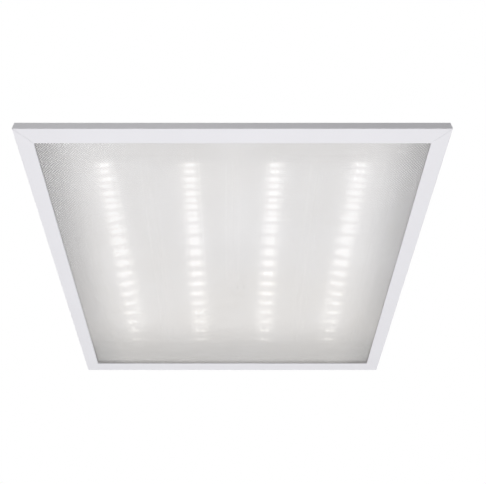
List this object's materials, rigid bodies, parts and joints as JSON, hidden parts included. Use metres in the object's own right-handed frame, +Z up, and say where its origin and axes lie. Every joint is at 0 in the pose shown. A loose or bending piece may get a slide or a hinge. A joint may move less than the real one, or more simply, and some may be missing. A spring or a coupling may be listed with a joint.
{
  "type": "recessed ceiling light panel",
  "caption": "Square back-lit ceiling panel: mitred rim, prismatic diffuser, pressed back pan with rows of small lights, and a driver on its back.",
  "frame": {"origin": "centre of the rim's underside, the face that lies on the ceiling grid", "axes": "+Z up, into the ceiling and away from the room; -Y towards the removable end rail; X and Y along the square's sides"},
  "size_m": [0.595, 0.595, 0.0615],
  "materials": {
    "frame_paint": "satin white powder coat over extruded aluminium",
    "pan_paint": "satin white powder coat on pressed steel",
    "diffuser_plastic": "clear-to-milky sheet with a micro-prism face",
    "board_white": "white solder mask",
    "light_phosphor": "pale yellow phosphor",
    "zinc_steel": "zinc plated",
    "seal_foam": "fine closed foam",
    "connector_white": "moulded",
    "rivet_nylon": "moulded nylon",
    "wire_white": "insulated wire",
    "wire_grey": "insulated wire",
    "grommet_rubber": "moulded rubber",
    "housing_plastic": "finely spark-eroded",
    "circuit_green": "green solder mask",
    "transformer_tape": "polyester tape over ferrite",
    "capacitor_sleeve": "shrunk sleeve",
    "choke_copper": "enamelled copper winding",
    "terminal_grey": "moulded",
    "button_orange": "moulded",
    "earth_brass": "tinned edges"
  },
  "bodies": {
    "fixture": {"rail_left": "frame_paint", "rail_right": "frame_paint", "rail_far": "frame_paint", "corner_key_far_left": "zinc_steel", "corner_key_far_right": "zinc_steel", "corner_key_near_left": "zinc_steel", "corner_key_near_right": "zinc_steel", "key_screws": "zinc_steel", "back_pan": "pan_paint", "seal_strips": "seal_foam", "pan_screws": "zinc_steel", "led_board_1": "board_white", "led_board_2": "board_white", "led_board_3": "board_white", "led_board_4": "board_white", "leds_1": "light_phosphor", "leds_2": "light_phosphor", "leds_3": "light_phosphor", "leds_4": "light_phosphor", "board_rivets": "rivet_nylon", "board_connectors": "connector_white", "positive_wires": "wire_white", "negative_wires": "wire_grey", "feed_grommet": "grommet_rubber", "driver_base": "housing_plastic", "driver_cover": "housing_plastic", "hinge_pin": "zinc_steel", "cord_clamp": "housing_plastic", "clamp_screws": "zinc_steel", "driver_screws": "zinc_steel", "driver_board": "circuit_green", "transformer": "transformer_tape", "capacitors": "capacitor_sleeve", "choke": "choke_copper", "terminal_block": "terminal_grey", "earth_strap": "earth_brass", "earth_screw": "earth_brass"},
    "end_rail": {"rail_near": "frame_paint", "end_rail_screws": "zinc_steel", "end_rail_nuts": "zinc_steel"},
    "diffuser_sheet": {"diffuser": "diffuser_plastic"},
    "terminal_lid": {"terminal_cover": "housing_plastic"},
    "button_1": {"release_button_1": "button_orange"},
    "button_2": {"release_button_2": "button_orange"},
    "button_3": {"release_button_3": "button_orange"}
  },
  "joints": [
    {"name": "diffuser_draw", "type": "slide", "parent": "fixture", "child": "diffuser_sheet", "axis": [0, -1, 0], "range_m": [0, 0.58]},
    {"name": "end_rail_draw", "type": "slide", "parent": "fixture", "child": "end_rail", "axis": [0, -1, 0], "range_m": [0, 0.58]},
    {"name": "lid_hinge", "type": "hinge", "parent": "fixture", "child": "terminal_lid", "pos_m": [0, 0.13, 0.0591], "axis": [-1, 0, 0], "range_deg": [0, 110]},
    {"name": "release_1", "type": "slide", "parent": "fixture", "child": "button_1", "axis": [0, 0, -1], "range_m": [0, 0.0012], "stiffness_N_per_m": 600, "springref_m": -0.0006},
    {"name": "release_2", "type": "slide", "parent": "fixture", "child": "button_2", "axis": [0, 0, -1], "range_m": [0, 0.0012], "stiffness_N_per_m": 600, "springref_m": -0.0006},
    {"name": "release_3", "type": "slide", "parent": "fixture", "child": "button_3", "axis": [0, 0, -1], "range_m": [0, 0.0012], "stiffness_N_per_m": 600, "springref_m": -0.0006}
  ],
  "couplings": [
    {"joint": "end_rail_draw", "follows": "diffuser_draw", "ratio": 1}
  ]
}
